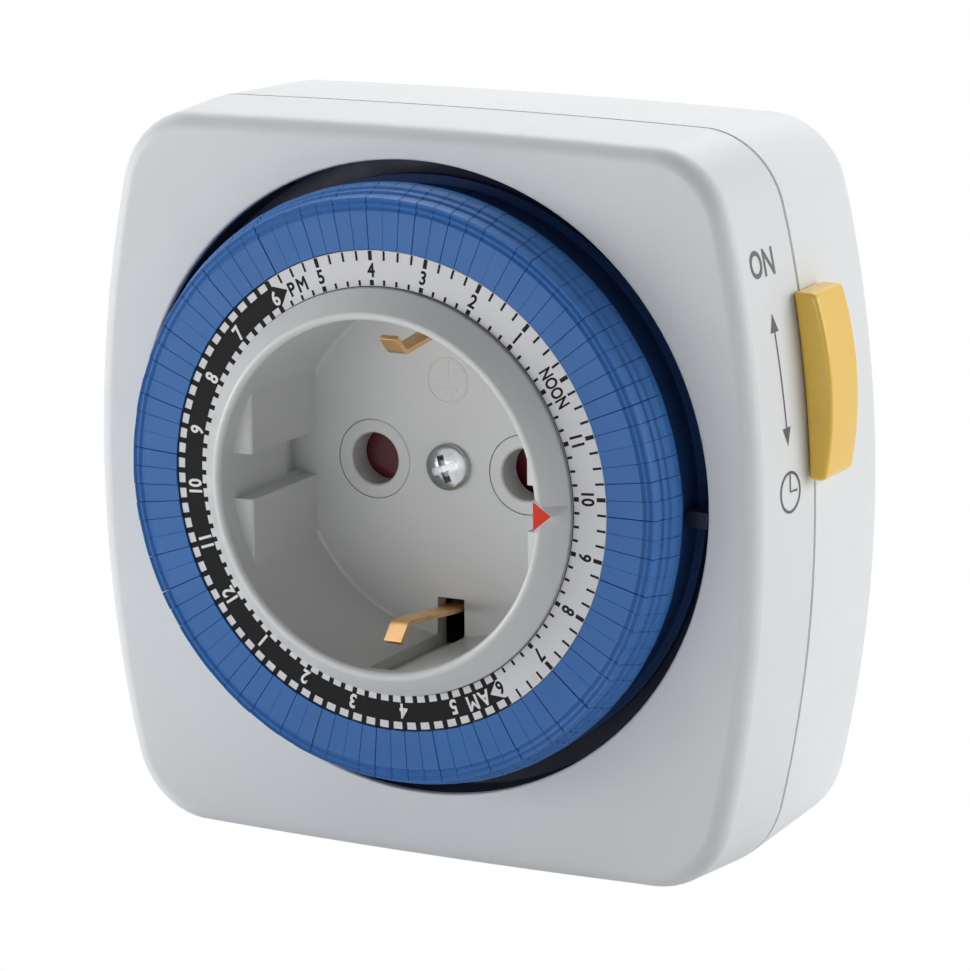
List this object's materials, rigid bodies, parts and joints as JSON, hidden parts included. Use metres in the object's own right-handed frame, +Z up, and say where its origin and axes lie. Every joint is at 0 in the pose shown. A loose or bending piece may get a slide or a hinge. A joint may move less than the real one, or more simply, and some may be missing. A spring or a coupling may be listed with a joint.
{
  "type": "plug-in timer switch",
  "caption": "Plug-in mains timer: square light grey casing with an earthed socket, a blue ring of quarter-hour tappets round a 24-hour scale, and a yellow override slider.",
  "frame": {"origin": "middle of the plug's face, between the two pins", "axes": "+Z up, the socket and dial face -Y, +Y into the wall along the pins, +X towards the side with the slider"},
  "size_m": [0.0873, 0.0775, 0.083],
  "materials": {
    "casing": "fine satin, light cool grey",
    "well": "smooth, light warm grey",
    "tappet": "satin blue",
    "drum": "satin, darker blue",
    "scale": "white, printed in black",
    "surround": "near black",
    "slider": "satin yellow",
    "shutter": "dark red",
    "inner": "natural",
    "brass": "bright stamped",
    "pin": "nickel-plated brass",
    "zinc": "zinc plated",
    "steel": "plain",
    "copper": "enamelled copper wire",
    "magnet": "dark ferrite"
  },
  "bodies": {
    "case": {"front_cover": "casing", "rear_cover": "casing", "casing_screws": "zinc", "socket_well": "well", "contact_carrier": "well", "contact_housing": "inner", "shutter_spring": "steel", "centre_screw": "zinc", "socket_contacts": "brass", "plug_insert": "casing", "earth_clips": "brass", "plug_earth_strips": "brass", "live_pin": "pin", "neutral_pin": "pin", "dial_surround": "surround", "fixed_contact": "brass", "live_busbar": "brass", "motor_can": "steel", "pole_plate": "steel", "coil_bobbin": "inner", "coil_winding": "copper", "gear_spindles": "steel", "gear_plate": "steel", "gear_bridge": "steel"},
    "dial": {"dial_drum": "drum", "scale_ring": "scale"},
    "hour_00": {"tappets_00": "tappet"},
    "hour_01": {"tappets_01": "tappet"},
    "hour_02": {"tappets_02": "tappet"},
    "hour_03": {"tappets_03": "tappet"},
    "hour_04": {"tappets_04": "tappet"},
    "hour_05": {"tappets_05": "tappet"},
    "hour_06": {"tappets_06": "tappet"},
    "hour_07": {"tappets_07": "tappet"},
    "hour_08": {"tappets_08": "tappet"},
    "hour_09": {"tappets_09": "tappet"},
    "hour_10": {"tappets_10": "tappet"},
    "hour_11": {"tappets_11": "tappet"},
    "hour_12": {"tappets_12": "tappet"},
    "hour_13": {"tappets_13": "tappet"},
    "hour_14": {"tappets_14": "tappet"},
    "hour_15": {"tappets_15": "tappet"},
    "hour_16": {"tappets_16": "tappet"},
    "hour_17": {"tappets_17": "tappet"},
    "hour_18": {"tappets_18": "tappet"},
    "hour_19": {"tappets_19": "tappet"},
    "hour_20": {"tappets_20": "tappet"},
    "hour_21": {"tappets_21": "tappet"},
    "hour_22": {"tappets_22": "tappet"},
    "hour_23": {"tappets_23": "tappet"},
    "override": {"override_slider": "slider"},
    "plunger": {"switch_plunger": "surround"},
    "leaf": {"moving_contact": "brass"},
    "shutter_disc": {"shutter": "shutter"},
    "motor_rotor": {"rotor": "magnet"},
    "first_gear": {"gear_1": "inner"},
    "second_gear": {"gear_2": "inner"},
    "third_gear": {"gear_3": "inner"},
    "slip_clutch": {"clutch_gear": "inner"},
    "pinion": {"drive_pinion": "inner"}
  },
  "joints": [
    {"name": "dial_turn", "type": "hinge", "parent": "case", "child": "dial", "pos_m": [0, -0.045, 0], "axis": [0, -1, 0], "continuous": true},
    {"name": "press_00", "type": "slide", "parent": "dial", "child": "hour_00", "axis": [0, 1, 0], "range_m": [0, 0.003]},
    {"name": "press_01", "type": "slide", "parent": "dial", "child": "hour_01", "axis": [0, 1, 0], "range_m": [0, 0.003]},
    {"name": "press_02", "type": "slide", "parent": "dial", "child": "hour_02", "axis": [0, 1, 0], "range_m": [0, 0.003]},
    {"name": "press_03", "type": "slide", "parent": "dial", "child": "hour_03", "axis": [0, 1, 0], "range_m": [0, 0.003]},
    {"name": "press_04", "type": "slide", "parent": "dial", "child": "hour_04", "axis": [0, 1, 0], "range_m": [0, 0.003]},
    {"name": "press_05", "type": "slide", "parent": "dial", "child": "hour_05", "axis": [0, 1, 0], "range_m": [0, 0.003]},
    {"name": "press_06", "type": "slide", "parent": "dial", "child": "hour_06", "axis": [0, 1, 0], "range_m": [0, 0.003]},
    {"name": "press_07", "type": "slide", "parent": "dial", "child": "hour_07", "axis": [0, 1, 0], "range_m": [0, 0.003]},
    {"name": "press_08", "type": "slide", "parent": "dial", "child": "hour_08", "axis": [0, 1, 0], "range_m": [0, 0.003]},
    {"name": "press_09", "type": "slide", "parent": "dial", "child": "hour_09", "axis": [0, 1, 0], "range_m": [0, 0.003]},
    {"name": "press_10", "type": "slide", "parent": "dial", "child": "hour_10", "axis": [0, 1, 0], "range_m": [0, 0.003]},
    {"name": "press_11", "type": "slide", "parent": "dial", "child": "hour_11", "axis": [0, 1, 0], "range_m": [0, 0.003]},
    {"name": "press_12", "type": "slide", "parent": "dial", "child": "hour_12", "axis": [0, 1, 0], "range_m": [0, 0.003]},
    {"name": "press_13", "type": "slide", "parent": "dial", "child": "hour_13", "axis": [0, 1, 0], "range_m": [0, 0.003]},
    {"name": "press_14", "type": "slide", "parent": "dial", "child": "hour_14", "axis": [0, 1, 0], "range_m": [0, 0.003]},
    {"name": "press_15", "type": "slide", "parent": "dial", "child": "hour_15", "axis": [0, 1, 0], "range_m": [0, 0.003]},
    {"name": "press_16", "type": "slide", "parent": "dial", "child": "hour_16", "axis": [0, 1, 0], "range_m": [0, 0.003]},
    {"name": "press_17", "type": "slide", "parent": "dial", "child": "hour_17", "axis": [0, 1, 0], "range_m": [0, 0.003]},
    {"name": "press_18", "type": "slide", "parent": "dial", "child": "hour_18", "axis": [0, 1, 0], "range_m": [0, 0.003]},
    {"name": "press_19", "type": "slide", "parent": "dial", "child": "hour_19", "axis": [0, 1, 0], "range_m": [0, 0.003]},
    {"name": "press_20", "type": "slide", "parent": "dial", "child": "hour_20", "axis": [0, 1, 0], "range_m": [0, 0.003]},
    {"name": "press_21", "type": "slide", "parent": "dial", "child": "hour_21", "axis": [0, 1, 0], "range_m": [0, 0.003]},
    {"name": "press_22", "type": "slide", "parent": "dial", "child": "hour_22", "axis": [0, 1, 0], "range_m": [0, 0.003]},
    {"name": "press_23", "type": "slide", "parent": "dial", "child": "hour_23", "axis": [0, 1, 0], "range_m": [0, 0.003]},
    {"name": "override_slide", "type": "slide", "parent": "case", "child": "override", "axis": [0, 0, 1], "range_m": [0, 0.0055]},
    {"name": "plunger_slide", "type": "slide", "parent": "case", "child": "plunger", "axis": [0, 1, 0], "range_m": [0, 0.0014]},
    {"name": "leaf_bend", "type": "hinge", "parent": "case", "child": "leaf", "pos_m": [0.036, -0.02975, -0.0225], "axis": [-1, 0, 0], "range_deg": [0, 3.9]},
    {"name": "shutter_turn", "type": "hinge", "parent": "case", "child": "shutter_disc", "pos_m": [0, -0.0369, 0], "axis": [0, -1, 0], "range_deg": [0, 40], "stiffness_Nm_per_rad": 0.004, "springref_deg": -17.19},
    {"name": "rotor_spin", "type": "hinge", "parent": "case", "child": "motor_rotor", "pos_m": [-0.01645, -0.028, 0.02083], "axis": [0, -1, 0], "continuous": true},
    {"name": "gear_1_spin", "type": "hinge", "parent": "case", "child": "first_gear", "pos_m": [-0.02437, -0.033, 0.01291], "axis": [0, -1, 0], "continuous": true},
    {"name": "gear_2_spin", "type": "hinge", "parent": "case", "child": "second_gear", "pos_m": [-0.02727, -0.034, 0.00209], "axis": [0, -1, 0], "continuous": true},
    {"name": "gear_3_spin", "type": "hinge", "parent": "case", "child": "third_gear", "pos_m": [-0.02532, -0.036, -0.00894], "axis": [0, -1, 0], "continuous": true},
    {"name": "clutch_spin", "type": "hinge", "parent": "case", "child": "slip_clutch", "pos_m": [-0.02822, -0.037, -0.01976], "axis": [0, -1, 0], "continuous": true},
    {"name": "pinion_spin", "type": "hinge", "parent": "case", "child": "pinion", "pos_m": [-0.02822, -0.04, -0.01976], "axis": [0, -1, 0], "continuous": true}
  ],
  "couplings": [
    {"joint": "pinion_spin", "follows": "dial_turn", "ratio": -9.6},
    {"joint": "gear_1_spin", "follows": "rotor_spin", "ratio": -0.18519},
    {"joint": "gear_2_spin", "follows": "rotor_spin", "ratio": 0.034294},
    {"joint": "gear_3_spin", "follows": "rotor_spin", "ratio": -0.0063507},
    {"joint": "clutch_spin", "follows": "rotor_spin", "ratio": 0.0011761},
    {"joint": "plunger_slide", "follows": "press_09", "ratio": 0.4666},
    {"joint": "leaf_bend", "follows": "press_09", "rad_per_m": 22.6}
  ]
}
